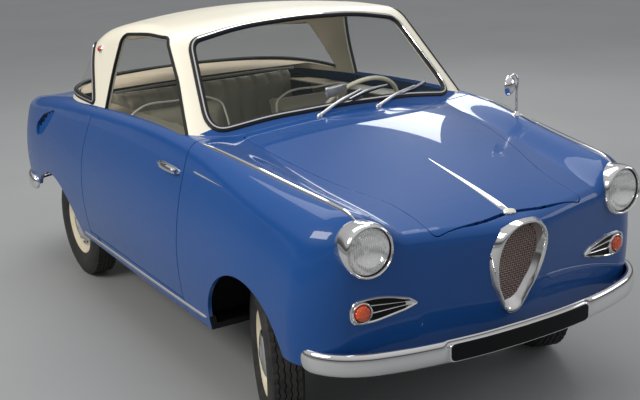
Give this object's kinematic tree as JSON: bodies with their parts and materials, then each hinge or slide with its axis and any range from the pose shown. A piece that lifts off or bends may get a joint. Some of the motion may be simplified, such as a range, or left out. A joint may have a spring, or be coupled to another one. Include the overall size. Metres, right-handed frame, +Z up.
{
  "type": "microcar",
  "caption": "Small two-door coupe with a rear engine, rear-hinged doors, a shield grille in the nose, wrap-round bumpers and small wheels that steer and roll",
  "frame": {"origin": "on the ground under the middle of the car's length and width", "axes": "+Z up, the nose points to -Y, +X is the car's left-hand side"},
  "size_m": [1.392, 3.0349, 1.2347],
  "materials": {
    "body_blue": "deep blue gloss paint",
    "roof_cream": "cream gloss paint",
    "chrome": "bright chrome plate",
    "window_glass": "clear glass with a faint green tint",
    "lamp_glass": "ribbed clear lamp glass",
    "amber_lens": "amber lens",
    "red_lens": "red lens",
    "plate_black": "blank black plate",
    "grille_wire": "woven wire with a reddish-grey cast",
    "tyre_black": "black rubber with zigzag tread",
    "rim_cream": "cream painted rim with a chrome hubcap",
    "running_gear": "black chassis paint",
    "engine_grey": "cast metal",
    "trim_beige": "beige interior trim",
    "seat_vinyl": "grey-green ribbed vinyl with pale piping",
    "wheel_ivory": "ivory steering wheel"
  },
  "bodies": {
    "body": {"platform": "running_gear", "firewall": "running_gear", "luggage_tray": "running_gear", "rear_bulkhead": "running_gear", "rear_wheelhouses": "running_gear", "nose_panel": "body_blue", "cowl": "body_blue", "fender_left": "body_blue", "fender_right": "body_blue", "quarter_left": "body_blue", "quarter_right": "body_blue", "rear_deck": "body_blue", "roof": "roof_cream", "windscreen": "window_glass", "rear_window": "window_glass", "dashboard": "trim_beige", "steering_column": "running_gear", "seat_left": "seat_vinyl", "seat_right": "seat_vinyl", "rear_bench": "seat_vinyl", "engine": "engine_grey", "front_suspension": "running_gear", "rear_suspension": "running_gear", "bumper_front": "chrome", "bumper_rear": "chrome", "number_plates": "plate_black", "headlamp_rims": "chrome", "headlamp_lenses": "lamp_glass", "indicator_trims": "chrome", "indicator_lenses": "amber_lens", "grille_frame": "chrome", "grille_mesh": "grille_wire", "tail_lamps": "red_lens", "wipers": "chrome", "fender_mirror": "chrome", "pillar_lamps": "red_lens"},
    "hood": {"hood": "body_blue"},
    "engine_lid": {"engine_lid": "body_blue"},
    "door_left": {"door_left": "body_blue", "door_glass_left": "window_glass", "handle_left": "chrome"},
    "door_right": {"door_right": "body_blue", "door_glass_right": "window_glass", "handle_right": "chrome"},
    "knuckle_left": {"knuckle_left": "running_gear"},
    "knuckle_right": {"knuckle_right": "running_gear"},
    "wheel_front_left": {"tyre_front_left": "tyre_black", "rim_front_left": "rim_cream"},
    "wheel_front_right": {"tyre_front_right": "tyre_black", "rim_front_right": "rim_cream"},
    "wheel_rear_left": {"tyre_rear_left": "tyre_black", "rim_rear_left": "rim_cream"},
    "wheel_rear_right": {"tyre_rear_right": "tyre_black", "rim_rear_right": "rim_cream"},
    "steering_wheel": {"steering_wheel": "wheel_ivory"}
  },
  "joints": [
    {"name": "hood_hinge", "type": "hinge", "parent": "body", "child": "hood", "pos_m": [0, -0.563, 0.892], "axis": [-1, 0, 0], "range_deg": [0, 55]},
    {"name": "engine_lid_hinge", "type": "hinge", "parent": "body", "child": "engine_lid", "pos_m": [0, 1.17, 0.826], "axis": [1, 0, 0], "range_deg": [0, 60]},
    {"name": "door_left_hinge", "type": "hinge", "parent": "body", "child": "door_left", "pos_m": [0.688, 0.505, 0.55], "axis": [0, 0, 1], "range_deg": [0, 65]},
    {"name": "door_right_hinge", "type": "hinge", "parent": "body", "child": "door_right", "pos_m": [-0.688, 0.505, 0.55], "axis": [0, 0, -1], "range_deg": [0, 65]},
    {"name": "steer_left", "type": "hinge", "parent": "body", "child": "knuckle_left", "pos_m": [0.515, -0.915, 0.243], "axis": [0, 0, 1], "range_deg": [-13, 53]},
    {"name": "steer_right", "type": "hinge", "parent": "body", "child": "knuckle_right", "pos_m": [-0.515, -0.915, 0.243], "axis": [0, 0, 1], "range_deg": [-13, 53]},
    {"name": "steering_turn", "type": "hinge", "parent": "body", "child": "steering_wheel", "pos_m": [0.3, -0.125, 0.79], "axis": [0, 0.8387, 0.5446], "range_deg": [-160, 640]},
    {"name": "roll_front_left", "type": "hinge", "parent": "knuckle_left", "child": "wheel_front_left", "pos_m": [0.54319, -0.92526, 0.243], "axis": [0.9397, -0.342, 0], "continuous": true},
    {"name": "roll_front_right", "type": "hinge", "parent": "knuckle_right", "child": "wheel_front_right", "pos_m": [-0.54319, -0.90474, 0.243], "axis": [0.9397, -0.342, 0], "continuous": true},
    {"name": "roll_rear_left", "type": "hinge", "parent": "body", "child": "wheel_rear_left", "pos_m": [0.545, 0.885, 0.243], "axis": [1, 0, 0], "continuous": true},
    {"name": "roll_rear_right", "type": "hinge", "parent": "body", "child": "wheel_rear_right", "pos_m": [-0.545, 0.885, 0.243], "axis": [1, 0, 0], "continuous": true}
  ],
  "couplings": [
    {"joint": "steer_right", "follows": "steer_left", "ratio": 1},
    {"joint": "steering_turn", "follows": "steer_left", "ratio": 12}
  ]
}
